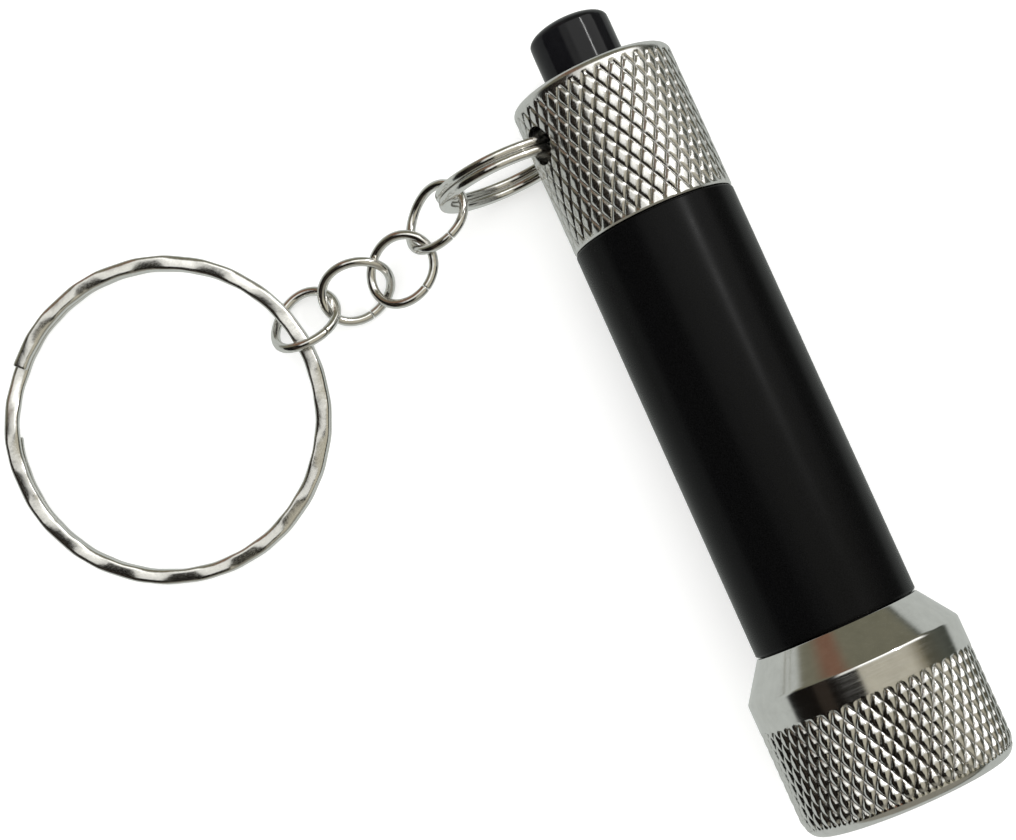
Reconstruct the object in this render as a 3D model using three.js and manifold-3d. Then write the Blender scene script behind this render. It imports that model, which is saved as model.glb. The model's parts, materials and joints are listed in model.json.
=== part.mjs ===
// Keychain flashlight: push-button torch with a knurled head and tail, a chain and a key ring.
//
// Units are millimetres and +Z is up. The torch lies on its tail rim and on its head's shoulder,
// so its axis rises by a small angle towards the head, in the XZ plane. The chain and the key
// ring lie on the same surface, on the -Y side. The origin is the centre of the footprint.
//
// The torch is modelled in its own group, in which X is its axis, 0 at the tail's end face.

import * as THREE from 'three';
import { mergeVertices } from 'three/addons/utils/BufferGeometryUtils.js';
import Module from 'manifold-3d';

const wasm = await Module();
wasm.setup();

// ---------------------------------------------------------------- driving dimensions

const ROUND_STEPS = 48; // sides of the outer turned pieces
const INNER_STEPS = 32; // sides of the pieces inside
const SMALL_STEPS = 24; // sides of the small turned pieces
const FIT_GAP = 0.1; // between pieces that fit together

// Outer body
const BODY_R = 7.0; // barrel and tail cap
const HEAD_R = 9.2;
const TAIL_END = 12.8; // where the tail cap meets the barrel
const BARREL_END = 48.8; // where the barrel meets the head
const SHOULDER_X = 51.5; // end of the head's cone
const KNURL_END_X = 62.8; // end of the head's knurled length
const HEAD_END = 63.9;
const EDGE_ROUND = 0.6; // rounding of the tail's rim

// Tail cap
const END_WALL = 1.3;
const BUTTON_HOLE_R = 3.55;
const TAIL_CAVITY_R = 5.5;
const SPIGOT_X = 8.8; // start of the barrel's spigot in the tail cap
const SPIGOT_R = 6.4;
const RING_HOLE_R = 1.6;
const RING_HOLE_X = 3.95;
const RING_HOLE_SPREAD = 66; // degrees between the two ring holes

// Barrel
const BORE_R = 6.12;
const REAR_BORE_R = 5.6;
const STEP_X = 12.9; // inner step that stops the switch
const NECK_R = 6.55; // threaded neck in the head
const NECK_END = 55.0;

// Button and switch
const BUTTON_R = 3.35;
const BUTTON_STANDS_OUT = 5.3;
const BUTTON_DOME = 0.8;
const BUTTON_SKIRT_X = 1.6;
const PLUNGER_R = 1.9;
const PLUNGER_END = 9.8;
const SWITCH_X = 5.9;
const SWITCH_END = 20.0;
const SWITCH_FRONT_R = 5.4;
const SWITCH_FLANGE_R = 6.0;

// Cells
const CELL_COUNT = 4;
const CELL_R = 5.8;
const CELL_LENGTH = 5.4;
const CELL_GAP = 0.12;
const CELLS_END = 54.4;

// Head and lamp
const HEAD_THREAD_R = 6.65;
const HEAD_CAVITY_R = 8.0;
const HEAD_CAVITY_X = 55.1;
const BEZEL_HOLE_R = 6.9;
const BEZEL_X = 62.1;
const LENS_X = 60.8;
const LENS_THICK = 0.9;
const LED_COUNT = 5;
const LED_CIRCLE_R = 4.5;
const LED_R = 2.45;
const LED_FLANGE_R = 2.6;
const BOARD_X = 55.95;
const BOARD_THICK = 0.8;
const HOLDER_R = 7.85;
const HOLDER_BORE_R = 7.3;

// Rings and chain
const SMALL_RING = { radius: 5.5, width: 1.0, thick: 0.7, coilGap: 0.06, crossing: 0.6 };
const KEY_RING = { radius: 13.2, width: 1.3, thick: 0.9, coilGap: 0.06, crossing: 0.45 };
const LINK = { long: 3.02, short: 2.62, twist: 0.28, wireR: 0.4, seam: 0.05 };
const REST_GAP = 0.02; // between the small ring and the table

// Where each link lies: centre, then turn about Z, pitch and roll about its own long side, in degrees
const LINK_PLACES = [
  { at: [4.65, -16.2, 3.91], turn: -63.8, pitch: 15.1, roll: 36.3 },
  { at: [7.3, -20.53, 2.96], turn: -59.4, pitch: 10.7, roll: 9.0 },
  { at: [7.21, -24.71, 1.87], turn: -84.7, pitch: 4.7, roll: -32.9 },
  { at: [7.77, -29.77, 1.9], turn: -62.0, pitch: -13.9, roll: 34.7 },
];
const KEY_RING_PLACE = { at: [10.7, -43.79, 1.52], towards: 102.2, pitch: 2.36, spin: 150 };

// The torch's rest: the tail rim and the head's shoulder both touch the table
const REST_SLOPE = Math.atan((HEAD_R - BODY_R) / (SHOULDER_X - EDGE_ROUND));
const TAIL_HEIGHT = BODY_R * Math.cos(REST_SLOPE) - EDGE_ROUND * Math.sin(REST_SLOPE);

// ---------------------------------------------------------------- materials

function material(color, roughness, metalness, extra = {}) {
  return new THREE.MeshStandardMaterial({ color, roughness, metalness, ...extra });
}

const finish = {
  blackAnodised: () => material(0x17181a, 0.42, 0.6),
  knurledAluminium: () => material(0xc9cbce, 0.3, 1.0),
  polishedAluminium: () => material(0xd4d5d6, 0.15, 1.0),
  glossBlack: () => material(0x0b0b0c, 0.12, 0.0),
  blackPlastic: () => material(0x1d1d1f, 0.55, 0.0),
  whitePlastic: () => material(0xe6e4dd, 0.5, 0.0),
  springSteel: () => material(0xb4b6b8, 0.25, 1.0),
  brass: () => material(0xb8964a, 0.3, 1.0),
  nickel: () => material(0xb9b5ab, 0.18, 1.0),
  cellSteel: () => material(0xc2c3c5, 0.22, 1.0),
  sleeveFilm: () => material(0x2c2f33, 0.6, 0.0),
  boardGreen: () => material(0x1f6b3a, 0.5, 0.0),
  mirrorChrome: () => material(0xe4e5e7, 0.06, 1.0),
  clearPlastic: () => material(0xf2f6f8, 0.05, 0.0, { transparent: true, opacity: 0.35 }),
  rubber: () => material(0x161616, 0.8, 0.0),
};

// ---------------------------------------------------------------- shape helpers

// An outline of [x along the axis, radius] points, turned about the X axis. It runs forward along
// the outside and back along the inside, and either starts and ends on the axis or is closed here.
function turned(outline, steps = ROUND_STEPS) {
  const startsOnAxis = outline[0][1] === 0;
  const ring = startsOnAxis ? outline : [...outline, outline[0]];
  const points = ring.map(([x, r]) => new THREE.Vector2(r, x));
  const geometry = new THREE.LatheGeometry(points, steps);
  geometry.rotateZ(-Math.PI / 2);
  return geometry;
}

// Points of an arc in the outline's plane, angles in degrees.
function arc(centreX, centreR, radius, from, to, steps) {
  return Array.from({ length: steps + 1 }, (_, i) => {
    const a = THREE.MathUtils.degToRad(from + ((to - from) * i) / steps);
    return [centreX + radius * Math.cos(a), centreR + radius * Math.sin(a)];
  });
}

function tubeBetween(startX, endX, innerR, outerR, steps = ROUND_STEPS) {
  return turned([[startX, outerR], [endX, outerR], [endX, innerR], [startX, innerR]], steps);
}

function discBetween(startX, endX, radius, steps = ROUND_STEPS) {
  return turned([[startX, 0], [startX, radius], [endX, radius], [endX, 0]], steps);
}

function roundSection(radius, sides) {
  const corner = (i) => {
    const a = (2 * Math.PI * (i + 0.5)) / sides;
    return new THREE.Vector2(radius * Math.cos(a), radius * Math.sin(a));
  };
  return new THREE.Shape(Array.from({ length: sides }, (_, i) => corner(i)));
}

// A rectangle with cut corners: X runs along the ring's axis and Y along its radius.
function bandSection(thick, width, cut) {
  const [t, w] = [thick / 2, width / 2];
  const corners = [
    [t, w - cut], [t - cut, w], [cut - t, w], [-t, w - cut],
    [-t, cut - w], [cut - t, -w], [t - cut, -w], [t, cut - w],
  ];
  return new THREE.Shape(corners.map(([x, y]) => new THREE.Vector2(x, y)));
}

class PathOf extends THREE.Curve {
  constructor(place) {
    super();
    this.place = place;
  }

  getPoint(t, target = new THREE.Vector3()) {
    return target.set(...this.place(t));
  }
}

function sweep(section, place, steps) {
  const path = new PathOf(place);
  path.arcLengthDivisions = steps * 8;
  return new THREE.ExtrudeGeometry(section, { steps, bevelEnabled: false, extrudePath: path });
}

function toSolid(geometry) {
  const plain = geometry.clone();
  plain.deleteAttribute('normal');
  plain.deleteAttribute('uv');
  const merged = mergeVertices(plain, 1e-4);
  const mesh = new wasm.Mesh({
    numProp: 3,
    vertProperties: new Float32Array(merged.attributes.position.array),
    triVerts: new Uint32Array(merged.index.array),
  });
  return new wasm.Manifold(mesh);
}

function toGeometry(solid) {
  const mesh = solid.getMesh();
  const geometry = new THREE.BufferGeometry();
  geometry.setAttribute('position', new THREE.BufferAttribute(new Float32Array(mesh.vertProperties), 3));
  geometry.setIndex(new THREE.BufferAttribute(new Uint32Array(mesh.triVerts), 1));
  geometry.computeVertexNormals();
  return geometry;
}

function cutAway(geometry, cutters) {
  return toGeometry(cutters.reduce((solid, cutter) => solid.subtract(toSolid(cutter)), toSolid(geometry)));
}

function piece(name, geometry, look) {
  const mesh = new THREE.Mesh(geometry, look());
  mesh.name = name;
  return mesh;
}

// ---------------------------------------------------------------- tail: cap, button and switch

// The small ring's centre lies this far from the torch's axis, so that its wire passes through
// the middle of both holes, and this much below it, so that the ring rests on the table.
const HALF_SPREAD = THREE.MathUtils.degToRad(RING_HOLE_SPREAD / 2);
const HOLE_MID_R = (BODY_R + TAIL_CAVITY_R) / 2;
const HOLE_SIDE = HOLE_MID_R * Math.sin(HALF_SPREAD);
const RING_CENTRE_OUT = HOLE_MID_R * Math.cos(HALF_SPREAD)
  + Math.sqrt(SMALL_RING.radius ** 2 - HOLE_SIDE ** 2);
const AXIS_HEIGHT_AT_HOLES = TAIL_HEIGHT + RING_HOLE_X * Math.sin(REST_SLOPE);
const SMALL_RING_OUTER_R = SMALL_RING.radius + SMALL_RING.width / 2;
const RING_CENTRE_DROP = AXIS_HEIGHT_AT_HOLES - SMALL_RING_OUTER_R - REST_GAP;
const RING_DIRECTION = Math.PI + Math.asin(RING_CENTRE_DROP / RING_CENTRE_OUT); // about X, from +Y

function radialHole(direction) {
  const cutter = new THREE.CylinderGeometry(RING_HOLE_R, RING_HOLE_R, 4, SMALL_STEPS);
  cutter.translate(0, HOLE_MID_R, 0);
  cutter.rotateX(direction);
  cutter.translate(RING_HOLE_X, 0, 0);
  return cutter;
}

function tailCap() {
  const rim = arc(EDGE_ROUND, BODY_R - EDGE_ROUND, EDGE_ROUND, 180, 90, 4);
  const outline = [
    ...rim,
    [TAIL_END, BODY_R], [TAIL_END, SPIGOT_R + FIT_GAP], [SPIGOT_X - FIT_GAP, SPIGOT_R + FIT_GAP],
    [SPIGOT_X - FIT_GAP, TAIL_CAVITY_R], [END_WALL, TAIL_CAVITY_R], [END_WALL, BUTTON_HOLE_R],
    [0, BUTTON_HOLE_R],
  ];
  const holes = [RING_DIRECTION - HALF_SPREAD, RING_DIRECTION + HALF_SPREAD].map(radialHole);
  return cutAway(turned(outline), holes);
}

function buttonCap() {
  const socketR = 2.4;
  const socketX = -0.6;
  const edge = 0.55;
  const shoulderX = BUTTON_DOME - BUTTON_STANDS_OUT;
  const outline = [
    [-BUTTON_STANDS_OUT, 0], [0.06 - BUTTON_STANDS_OUT, 1.2], [0.25 - BUTTON_STANDS_OUT, 2.1],
    [shoulderX - 0.3, BUTTON_R - edge], [shoulderX - 0.02, BUTTON_R - 0.15], [shoulderX + 0.35, BUTTON_R],
    [BUTTON_SKIRT_X, BUTTON_R], [BUTTON_SKIRT_X, socketR], [socketX, socketR], [socketX, 0],
  ];
  return turned(outline, SMALL_STEPS);
}

function buttonPlunger() {
  const headR = 2.3;
  const outline = [
    [-0.5, 0], [-0.5, headR], [BUTTON_SKIRT_X, headR], [BUTTON_SKIRT_X, PLUNGER_R],
    [PLUNGER_END - 0.4, PLUNGER_R], [PLUNGER_END, PLUNGER_R - 0.4], [PLUNGER_END, 0],
  ];
  return turned(outline, SMALL_STEPS);
}

function switchHousing() {
  const boreR = PLUNGER_R + 0.2;
  const boreEnd = PLUNGER_END + 2.6; // leaves room for the plunger's travel
  const flangeX = STEP_X + FIT_GAP;
  return turned([
    [boreEnd, 0], [boreEnd, boreR], [SWITCH_X, boreR], [SWITCH_X, SWITCH_FRONT_R],
    [flangeX, SWITCH_FRONT_R], [flangeX, SWITCH_FLANGE_R], [SWITCH_END, SWITCH_FLANGE_R], [SWITCH_END, 0],
  ], INNER_STEPS);
}

// ---------------------------------------------------------------- springs

function coilSpring(startX, endX, startR, endR, wireR, turns) {
  const stepsPerTurn = 8;
  const place = (t) => {
    const a = 2 * Math.PI * turns * t;
    const r = startR + (endR - startR) * t;
    return [startX + wireR + (endX - startX - 2 * wireR) * t, r * Math.cos(a), r * Math.sin(a)];
  };
  return sweep(roundSection(wireR, 6), place, Math.round(turns * stepsPerTurn));
}

// ---------------------------------------------------------------- barrel and cells

function barrelTube() {
  const neckEdge = 0.2;
  return turned([
    [SPIGOT_X, SPIGOT_R], [TAIL_END + FIT_GAP, SPIGOT_R], [TAIL_END + FIT_GAP, BODY_R],
    [BARREL_END, BODY_R], [BARREL_END, NECK_R], [NECK_END - neckEdge, NECK_R],
    [NECK_END, NECK_R - neckEdge], [NECK_END, BORE_R], [STEP_X, BORE_R], [STEP_X, REAR_BORE_R],
    [SPIGOT_X, REAR_BORE_R],
  ]);
}

// A button cell: a wide can with a narrower cap towards the tail.
function buttonCell(startX) {
  const capR = CELL_R - 0.75;
  const canX = startX + 0.9;
  const endX = startX + CELL_LENGTH;
  const edge = 0.25;
  return turned([
    [startX, 0], [startX, capR - 0.3], [startX + 0.3, capR], [canX, capR], [canX, CELL_R - edge],
    [canX + edge, CELL_R], [endX - edge, CELL_R], [endX, CELL_R - edge], [endX, 0],
  ], SMALL_STEPS);
}

// ---------------------------------------------------------------- head and lamp

function headShell() {
  const grooveX = [50.3, 51.1]; // seat of the sealing ring
  const grooveR = 7.2;
  const rearX = BARREL_END + FIT_GAP;
  const front = [[KNURL_END_X, HEAD_R], [63.25, 9.08], [63.65, 8.8], [HEAD_END, 8.4]];
  return turned([
    [rearX, BODY_R], [SHOULDER_X, HEAD_R], ...front, [HEAD_END, HEAD_CAVITY_R],
    [HEAD_CAVITY_X, HEAD_CAVITY_R], [HEAD_CAVITY_X, HEAD_THREAD_R], [grooveX[1], HEAD_THREAD_R],
    [grooveX[1], grooveR], [grooveX[0], grooveR], [grooveX[0], HEAD_THREAD_R], [rearX, HEAD_THREAD_R],
  ]);
}

function ledLamp(startX) {
  const flangeThick = 0.9;
  const domeX = startX + 2.3;
  const domeLength = 1.4;
  const steps = 4;
  const dome = Array.from({ length: steps + 1 }, (_, i) => {
    const a = (Math.PI / 2) * (i / steps);
    return [domeX + domeLength * Math.sin(a), i === steps ? 0 : LED_R * Math.cos(a)];
  });
  return turned([
    [startX, 0], [startX, LED_FLANGE_R], [startX + flangeThick, LED_FLANGE_R],
    [startX + flangeThick, LED_R], ...dome,
  ], 16);
}

function ledPlace(i) {
  const a = Math.PI / 2 + (2 * Math.PI * i) / LED_COUNT;
  return [0, LED_CIRCLE_R * Math.cos(a), LED_CIRCLE_R * Math.sin(a)];
}

function reflectorPlate(startX, endX) {
  const cutters = Array.from({ length: LED_COUNT }, (_, i) => {
    const cutter = new THREE.CylinderGeometry(LED_R + 0.08, LED_R + 0.08, 4, 16);
    cutter.rotateZ(Math.PI / 2);
    const [, y, z] = ledPlace(i);
    return cutter.translate((startX + endX) / 2, y, z);
  });
  return cutAway(discBetween(startX, endX, HOLDER_BORE_R - FIT_GAP, INNER_STEPS), cutters);
}

function lampHolder() {
  const backX = 55.25;
  const floorX = BOARD_X - FIT_GAP;
  const frontX = LENS_X - 0.25;
  const contactHoleR = 2.2;
  return turned([
    [backX, HOLDER_R], [frontX, HOLDER_R], [frontX, HOLDER_BORE_R], [floorX, HOLDER_BORE_R],
    [floorX, contactHoleR], [backX, contactHoleR],
  ], INNER_STEPS);
}

// ---------------------------------------------------------------- rings and links

// Two turns of band side by side: one stretch crosses from the first coil to the second.
function splitRing({ radius, width, thick, coilGap, crossing }, steps) {
  const cut = 0.18; // off each corner of the band
  const total = 4 * Math.PI - crossing;
  const pitch = thick + coilGap;
  const rise = (a) => THREE.MathUtils.smoothstep(a, 2 * Math.PI - crossing, 2 * Math.PI);
  const place = (t) => {
    const a = total * t;
    return [radius * Math.cos(a), radius * Math.sin(a), pitch * (rise(a) - 0.5)];
  };
  return sweep(bandSection(thick, width, cut), place, steps);
}

// A curb link: an oval of round wire, twisted a little out of its plane, with its seam closed up.
function chainLink({ long, short, twist, wireR, seam }) {
  const seamAngle = seam / short;
  const place = (t) => {
    const a = Math.PI / 2 + seamAngle + (2 * Math.PI - 2 * seamAngle) * t;
    return [long * Math.cos(a), short * Math.sin(a), twist * Math.sin(2 * a)];
  };
  return sweep(roundSection(wireR, 6), place, 26);
}

const radians = (degrees) => THREE.MathUtils.degToRad(degrees);

// ---------------------------------------------------------------- assembly

function torch() {
  const group = new THREE.Group();
  group.rotation.y = -REST_SLOPE;
  group.position.z = TAIL_HEIGHT;

  group.add(piece('barrel_tube', barrelTube(), finish.blackAnodised));
  group.add(piece('tail_cap', tailCap(), finish.knurledAluminium));
  group.add(piece('button_cap', buttonCap(), finish.glossBlack));
  group.add(piece('button_plunger', buttonPlunger(), finish.whitePlastic));
  group.add(piece('button_return_spring',
    coilSpring(BUTTON_SKIRT_X + 0.08, SWITCH_X - 0.08, 2.75, 2.75, 0.2, 4), finish.springSteel));
  group.add(piece('switch_housing', switchHousing(), finish.blackPlastic));
  group.add(piece('switch_retaining_ring',
    tubeBetween(SWITCH_END + FIT_GAP, SWITCH_END + 1.2, 4.4, SWITCH_FLANGE_R, INNER_STEPS), finish.brass));

  const cellsStart = CELLS_END - CELL_COUNT * CELL_LENGTH - (CELL_COUNT - 1) * CELL_GAP;
  group.add(piece('tail_spring',
    coilSpring(SWITCH_END + 0.1, cellsStart - 0.1, 3.6, 2.0, 0.3, 6), finish.springSteel));
  group.add(piece('battery_sleeve',
    tubeBetween(cellsStart + 0.2, CELLS_END, CELL_R + 0.12, CELL_R + 0.25, INNER_STEPS), finish.sleeveFilm));
  for (let i = 0; i < CELL_COUNT; i += 1) {
    const startX = cellsStart + i * (CELL_LENGTH + CELL_GAP);
    group.add(piece(`battery_cell_${i + 1}`, buttonCell(startX), finish.cellSteel));
  }

  const boardFront = BOARD_X + BOARD_THICK;
  group.add(piece('lamp_holder', lampHolder(), finish.blackPlastic));
  group.add(piece('led_board',
    discBetween(BOARD_X, boardFront, HOLDER_BORE_R - FIT_GAP, INNER_STEPS), finish.boardGreen));
  group.add(piece('reflector_plate', reflectorPlate(58.0, 59.2), finish.mirrorChrome));
  group.add(piece('front_contact_spring',
    coilSpring(CELLS_END + 0.12, BOARD_X - 0.06, 1.0, 1.7, 0.18, 2.5), finish.springSteel));
  for (let i = 0; i < LED_COUNT; i += 1) {
    const lamp = piece(`led_${i + 1}`, ledLamp(boardFront + 0.1), finish.clearPlastic);
    lamp.position.set(...ledPlace(i));
    group.add(lamp);
  }

  group.add(piece('head_shell', headShell(), finish.knurledAluminium));
  group.add(piece('head_seal_ring', tubeBetween(50.4, 51.0, NECK_R + 0.03, 7.12), finish.rubber));
  const lensR = HEAD_CAVITY_R - FIT_GAP;
  group.add(piece('lens', discBetween(LENS_X, LENS_X + LENS_THICK, lensR), finish.clearPlastic));
  group.add(piece('lens_gasket',
    tubeBetween(LENS_X + LENS_THICK + 0.05, BEZEL_X - 0.05, 7.1, lensR, INNER_STEPS), finish.rubber));
  group.add(piece('bezel_ring',
    tubeBetween(BEZEL_X, HEAD_END, BEZEL_HOLE_R, HEAD_CAVITY_R - 0.05), finish.polishedAluminium));

  const ring = piece('small_split_ring', splitRing(SMALL_RING, 48), finish.nickel);
  ring.rotation.y = Math.PI / 2;
  ring.position.set(RING_HOLE_X, RING_CENTRE_OUT * Math.cos(RING_DIRECTION), -RING_CENTRE_DROP);
  group.add(ring);
  return group;
}

function chainAndKeyRing() {
  const group = new THREE.Group();
  LINK_PLACES.forEach(({ at, turn, pitch, roll }, i) => {
    const link = piece(`chain_link_${i + 1}`, chainLink(LINK), finish.nickel);
    link.rotation.set(radians(roll), radians(pitch), radians(turn), 'ZYX');
    link.position.set(...at);
    group.add(link);
  });
  const ring = piece('key_ring', splitRing(KEY_RING, 84), finish.nickel);
  const { at, towards, pitch, spin } = KEY_RING_PLACE;
  const tilted = new THREE.Group();
  tilted.rotation.set(0, radians(-pitch), radians(towards), 'ZYX');
  tilted.position.set(...at);
  ring.rotation.z = radians(spin);
  tilted.add(ring);
  group.add(tilted);
  return group;
}

// The origin is the centre of the footprint, on the table.
function assembly() {
  const contents = new THREE.Group();
  contents.add(torch(), chainAndKeyRing());
  contents.updateMatrixWorld(true);
  const box = new THREE.Box3().setFromObject(contents, true);
  const centre = box.getCenter(new THREE.Vector3());
  contents.position.set(-centre.x, -centre.y, -box.min.z);
  const group = new THREE.Group();
  group.add(contents);
  group.updateMatrixWorld(true);
  return group;
}

export default assembly();
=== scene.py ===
import json
import math
from functools import partial, reduce
from types import SimpleNamespace

import bmesh
import bpy
import numpy as np
from bpy.props import FloatProperty, FloatVectorProperty, IntProperty, PointerProperty
from bpy.types import Operator, Panel, PropertyGroup
from mathutils import Euler, Matrix, Vector


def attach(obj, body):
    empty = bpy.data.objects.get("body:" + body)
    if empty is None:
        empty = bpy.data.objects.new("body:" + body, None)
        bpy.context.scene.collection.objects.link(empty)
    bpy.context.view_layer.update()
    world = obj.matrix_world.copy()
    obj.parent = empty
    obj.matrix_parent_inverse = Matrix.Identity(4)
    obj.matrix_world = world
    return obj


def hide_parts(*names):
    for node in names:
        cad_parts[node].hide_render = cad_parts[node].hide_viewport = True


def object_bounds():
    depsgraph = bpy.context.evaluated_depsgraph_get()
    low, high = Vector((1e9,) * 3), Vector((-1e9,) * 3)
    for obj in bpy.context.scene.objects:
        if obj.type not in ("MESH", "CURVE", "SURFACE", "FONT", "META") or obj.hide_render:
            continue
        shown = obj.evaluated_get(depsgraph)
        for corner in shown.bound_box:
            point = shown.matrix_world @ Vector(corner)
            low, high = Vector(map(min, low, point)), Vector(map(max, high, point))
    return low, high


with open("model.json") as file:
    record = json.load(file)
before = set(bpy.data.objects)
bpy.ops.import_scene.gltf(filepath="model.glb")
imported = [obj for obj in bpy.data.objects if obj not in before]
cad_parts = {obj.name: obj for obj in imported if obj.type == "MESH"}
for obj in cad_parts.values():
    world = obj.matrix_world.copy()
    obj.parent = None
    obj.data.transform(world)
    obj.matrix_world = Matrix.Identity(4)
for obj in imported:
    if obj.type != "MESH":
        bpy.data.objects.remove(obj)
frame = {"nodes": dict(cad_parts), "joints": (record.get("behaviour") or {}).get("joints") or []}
CAD_LOW, CAD_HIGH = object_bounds()

bl_info = {
    "name": "Keychain torch",
    "version": (1, 0, 0),
    "blender": (4, 5, 0),
    "location": "View3D > Sidebar > Torch",
    "description": "Builds the looks of a small knurled torch with its chain and key ring",
    "category": "Object",
}

MM = 0.001

# ---------------------------------------------------------------- where things are in the CAD

JOINTS = {joint["name"]: joint for joint in frame["joints"]}


def torch_frame():
    """The torch's own frame: X runs along its axis from the tail's end face, Y is across."""
    head = JOINTS["head_unscrew"]
    along = Vector(head["axis"]).normalized()
    across = Vector((0.0, 1.0, 0.0))
    up = along.cross(across).normalized()
    turn = Matrix((along, across, up)).transposed()
    return Matrix.Translation(Vector(head["pos_m"])) @ turn.to_4x4()


TORCH = torch_frame()


def points_in(place, node):
    """A CAD node's vertices in a frame, in millimetres."""
    vertices = frame["nodes"][node].data.vertices
    coords = np.empty(len(vertices) * 3)
    vertices.foreach_get("co", coords)
    inverse = np.array(place.inverted())
    return (coords.reshape(-1, 3) @ inverse[:3, :3].T + inverse[:3, 3]) / MM


def span(node):
    """Where a turned CAD node starts and ends along the torch, and its largest radius, in mm."""
    points = points_in(TORCH, node)
    radius = np.hypot(points[:, 1], points[:, 2])
    return points[:, 0].min(), points[:, 0].max(), radius.max()


def middle(turn, node):
    """A frame with that turn, at the middle of a CAD node."""
    turn = turn.to_4x4()
    points = points_in(turn, node)
    centre = Vector((points.min(0) + points.max(0)) / 2) * MM
    return Matrix.Translation(turn @ centre) @ turn


# ---------------------------------------------------------------- sizes and colours


def length(label, note, millimetres):
    return FloatProperty(
        name=label, description=note, subtype="DISTANCE", unit="LENGTH", min=0.0, precision=5,
        default=millimetres * MM)


def colour(label, note, value):
    return FloatVectorProperty(
        name=label, description=note, subtype="COLOR", size=3, min=0.0, max=1.0, default=value)


class TorchSizes(PropertyGroup):
    """Sizes of the torch that can be changed without touching the frame."""

    head_diamonds: IntProperty(
        name="Head diamonds", description="Knurl diamonds round the head", default=50, min=20, max=80)
    head_diamond_length: length("Head diamond length", "Length of one diamond on the head", 1.98)
    head_knurl_depth: length("Head knurl depth", "How deep the head's grooves are cut", 0.21)
    tail_diamonds: IntProperty(
        name="Tail diamonds", description="Knurl diamonds round the tail cap", default=37, min=20, max=80)
    tail_diamond_length: length("Tail diamond length", "Length of one diamond on the tail cap", 2.13)
    tail_knurl_depth: length("Tail knurl depth", "How deep the tail cap's grooves are cut", 0.14)
    polished_band: length("Polished band", "Length of the plain band behind the head's knurl", 2.35)
    front_round: length("Front rounding", "Length of the rounded front edge of the head", 1.9)
    thread_pitch: length("Thread pitch", "Pitch of the head's thread", 1.0)
    thread_depth: length("Thread depth", "Depth of the head's thread", 0.22)


class RingSizes(PropertyGroup):
    """Sizes of the chain and the rings."""

    key_band: length("Key ring band", "Width of the key ring's band", 1.3)
    key_thickness: length("Key ring thickness", "Thickness of one turn of the key ring", 0.9)
    key_marks: IntProperty(
        name="Hammer marks", description="Pairs of hammered flats round the key ring", default=15, min=0)
    key_mark_depth: length("Hammer depth", "Depth of the hammered flats", 0.15)
    small_band: length("Small ring band", "Width of the small ring's band", 1.0)
    small_thickness: length("Small ring thickness", "Thickness of one turn of the small ring", 0.7)
    turn_gap: length("Gap between turns", "Between the two turns of either ring", 0.06)
    link_wire: length("Link wire", "Diameter of the links' wire", 0.8)


class TorchColours(PropertyGroup):
    """Colours of the finishes and of the studio."""

    barrel: colour("Barrel", "Black anodised aluminium", (0.002, 0.002, 0.0021))
    aluminium: colour("Aluminium", "Bare metal of the tail cap, head and bezel", (0.82, 0.81, 0.79))
    button: colour("Button", "Gloss black plastic", (0.006, 0.006, 0.007))
    nickel: colour("Nickel", "Plated rings and links", (0.88, 0.868, 0.84))
    floor: colour("Floor", "The studio's pale floor", (0.93, 0.93, 0.925))
    warm_card: colour("Warm card", "The large soft card above the torch", (0.47, 0.445, 0.36))


def in_millimetres(group):
    """A group's values as plain numbers, with its lengths in millimetres."""
    values = {name: getattr(group, name) for name in group.__annotations__}
    return SimpleNamespace(
        **{name: value / MM if isinstance(value, float) else value for name, value in values.items()})


# ---------------------------------------------------------------- meshes

SHARP_ANGLE = math.radians(38)


def make_piece(name, vertices, faces, place, finish, grooves=None):
    """A closed mesh from millimetre vertices, standing in the given frame."""
    mesh = bpy.data.meshes.new(name)
    mesh.from_pydata((np.asarray(vertices) * MM).tolist(), [], faces)
    if grooves is not None:
        # The groove values become the groove attribute, which paints shade into the aluminium deep in its
        # grooves.
        mesh.attributes.new("groove", "FLOAT", "POINT").data.foreach_set("value", grooves)
    work = bmesh.new()
    work.from_mesh(mesh)
    bmesh.ops.remove_doubles(work, verts=work.verts, dist=1e-8)
    bmesh.ops.recalc_face_normals(work, faces=work.faces)
    work.to_mesh(mesh)
    work.free()
    mesh.shade_smooth()
    mesh.set_sharp_from_angle(angle=SHARP_ANGLE)
    mesh.materials.append(finish)
    piece = bpy.data.objects.new(name, mesh)
    bpy.context.scene.collection.objects.link(piece)
    piece.matrix_world = place
    return piece


def levelled(vertices, place):
    """The same vertices for a frame that is moved but not turned, so that the piece's box is a true one."""
    return np.asarray(vertices) @ np.array(place.to_3x3()).T, Matrix.Translation(place.translation)


def fit(piece, body, slot, *nodes):
    """Ties a piece to its CAD body and hides the CAD nodes that it stands for. The slot is not used."""
    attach(piece, body)
    if nodes:
        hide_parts(*nodes)
    return piece


SUPPORT_GAP = 0.05


def supported(rows):
    """Rows with two more near the ends of each long plain stretch, so that it shades as flat as it is."""
    made = []
    for i, row in enumerate(rows):
        made.append(row)
        if i + 1 == len(rows) and rows[0][1] == 0:
            break
        after = rows[(i + 1) % len(rows)]
        reach = math.hypot(after[0] - row[0], after[1] - row[1])
        if reach > 4 * SUPPORT_GAP and len(row) == 2 and len(after) == 2:
            for share in (SUPPORT_GAP / reach, 1 - SUPPORT_GAP / reach):
                made.append(tuple(a + (b - a) * share for a, b in zip(row, after)))
    return made


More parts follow.
